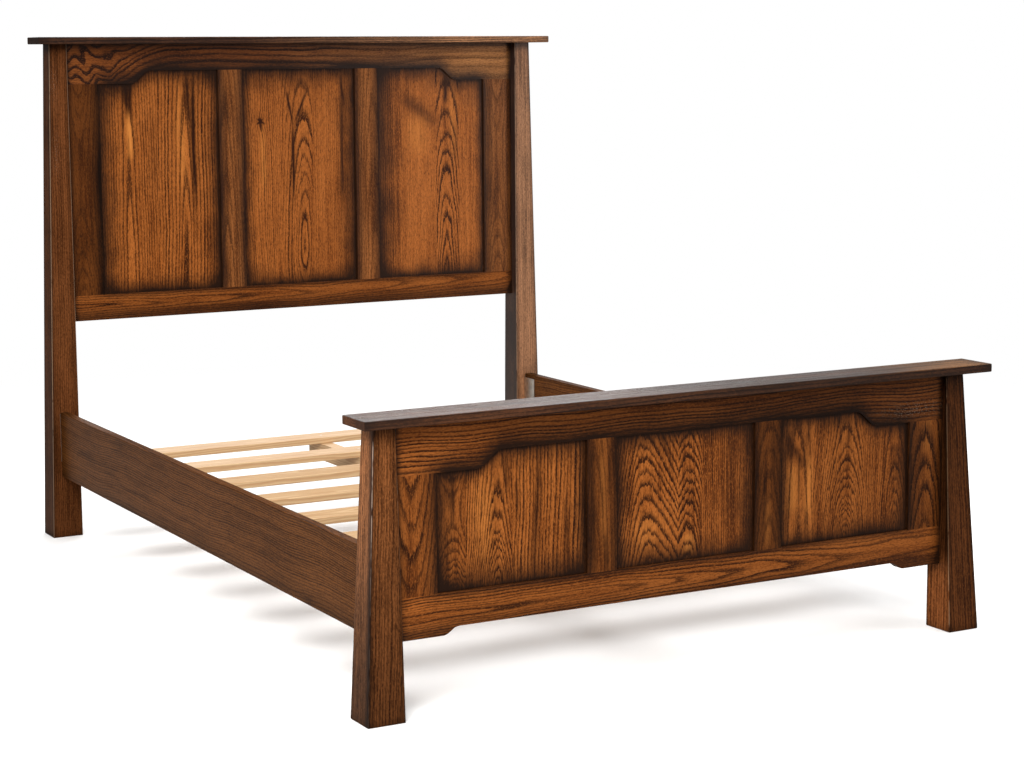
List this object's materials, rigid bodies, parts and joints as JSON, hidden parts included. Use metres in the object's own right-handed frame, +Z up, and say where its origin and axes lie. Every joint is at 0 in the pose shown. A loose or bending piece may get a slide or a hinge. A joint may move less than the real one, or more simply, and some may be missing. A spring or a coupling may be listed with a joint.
{
  "type": "bed frame",
  "caption": "Queen panel bed frame in stained oak: tall headboard and low footboard with tapered posts, overhanging caps and recessed flat panels, side rails, slats and a centre support.",
  "frame": {"origin": "middle of the bed's bounding box, on the floor", "axes": "+X to the right seen from the foot end, +Y from footboard to headboard, +Z up"},
  "size_m": [1.661, 2.274, 1.456],
  "materials": {
    "post_wood": "dark brown stained oak, satin lacquer",
    "frame_wood": "amber brown stained oak with darkened edges, satin lacquer",
    "panel_wood": "amber stained oak with a dark burnished border, satin lacquer",
    "cap_wood": "dark brown stained oak, satin lacquer",
    "rail_wood": "brown stained oak, satin lacquer",
    "slat_wood": "planed light wood, unfinished",
    "dowel_wood": "beech, unfinished",
    "plated_steel": "pressed steel, zinc plated",
    "fastener_steel": "zinc plated",
    "pad_plastic": "black moulded nylon"
  },
  "bodies": {
    "headboard": {"headboard_bottom_rail": "frame_wood", "headboard_cap": "cap_wood", "headboard_cap_dowels": "dowel_wood", "headboard_mullion_left": "frame_wood", "headboard_mullion_right": "frame_wood", "headboard_panel_center": "panel_wood", "headboard_panel_left": "panel_wood", "headboard_panel_right": "panel_wood", "headboard_plate_screws": "fastener_steel", "headboard_post_left": "post_wood", "headboard_post_right": "post_wood", "headboard_slot_plate_left": "plated_steel", "headboard_slot_plate_right": "plated_steel", "headboard_stile_left": "frame_wood", "headboard_stile_right": "frame_wood", "headboard_top_rail": "frame_wood"},
    "deck": {"centre_beam": "slat_wood", "centre_leg_foot": "slat_wood", "centre_leg_head": "slat_wood", "leg_bolts": "fastener_steel", "leg_inserts": "fastener_steel", "rail_bracket_screws": "fastener_steel", "rail_hook_bracket_foot_left": "plated_steel", "rail_hook_bracket_foot_right": "plated_steel", "rail_hook_bracket_head_left": "plated_steel", "rail_hook_bracket_head_right": "plated_steel", "side_rail_left": "rail_wood", "side_rail_right": "rail_wood", "slat_1": "slat_wood", "slat_2": "slat_wood", "slat_3": "slat_wood", "slat_4": "slat_wood", "slat_5": "slat_wood", "slat_6": "slat_wood", "slat_7": "slat_wood", "slat_8": "slat_wood", "slat_cleat_left": "slat_wood", "slat_cleat_right": "slat_wood", "slat_cleat_screws": "fastener_steel", "slat_screws": "fastener_steel"},
    "footboard": {"footboard_bottom_rail": "frame_wood", "footboard_cap": "cap_wood", "footboard_cap_dowels": "dowel_wood", "footboard_mullion_left": "frame_wood", "footboard_mullion_right": "frame_wood", "footboard_panel_center": "panel_wood", "footboard_panel_left": "panel_wood", "footboard_panel_right": "panel_wood", "footboard_plate_screws": "fastener_steel", "footboard_post_left": "post_wood", "footboard_post_right": "post_wood", "footboard_slot_plate_left": "plated_steel", "footboard_slot_plate_right": "plated_steel", "footboard_stile_left": "frame_wood", "footboard_stile_right": "frame_wood", "footboard_top_rail": "frame_wood"},
    "pad_head": {"leveler_pad_head": "pad_plastic"},
    "stem_head": {"leveler_stem_head": "fastener_steel"},
    "pad_foot": {"leveler_pad_foot": "pad_plastic"},
    "stem_foot": {"leveler_stem_foot": "fastener_steel"}
  },
  "joints": [
    {"name": "deck_lift", "type": "slide", "parent": "headboard", "child": "deck", "axis": [0, 0, 1], "range_m": [0, 0.013]},
    {"name": "footboard_unhook", "type": "slide", "parent": "deck", "child": "footboard", "axis": [0, 0, -1], "range_m": [0, 0.013]},
    {"name": "leveler_travel_head", "type": "slide", "parent": "deck", "child": "pad_head", "axis": [0, 0, 1], "range_m": [-0.006, 0.008]},
    {"name": "leveler_turn_head", "type": "hinge", "parent": "pad_head", "child": "stem_head", "pos_m": [0, 0.371, 0.03], "axis": [0, 0, 1], "range_deg": [-1441, 1921]},
    {"name": "leveler_travel_foot", "type": "slide", "parent": "deck", "child": "pad_foot", "axis": [0, 0, 1], "range_m": [-0.006, 0.008]},
    {"name": "leveler_turn_foot", "type": "hinge", "parent": "pad_foot", "child": "stem_foot", "pos_m": [0, -0.349, 0.03], "axis": [0, 0, 1], "range_deg": [-1441, 1921]}
  ],
  "couplings": [
    {"joint": "footboard_unhook", "follows": "deck_lift", "ratio": 1},
    {"joint": "leveler_turn_head", "follows": "leveler_travel_head", "rad_per_m": 4188.8},
    {"joint": "leveler_turn_foot", "follows": "leveler_travel_foot", "rad_per_m": 4188.8}
  ]
}
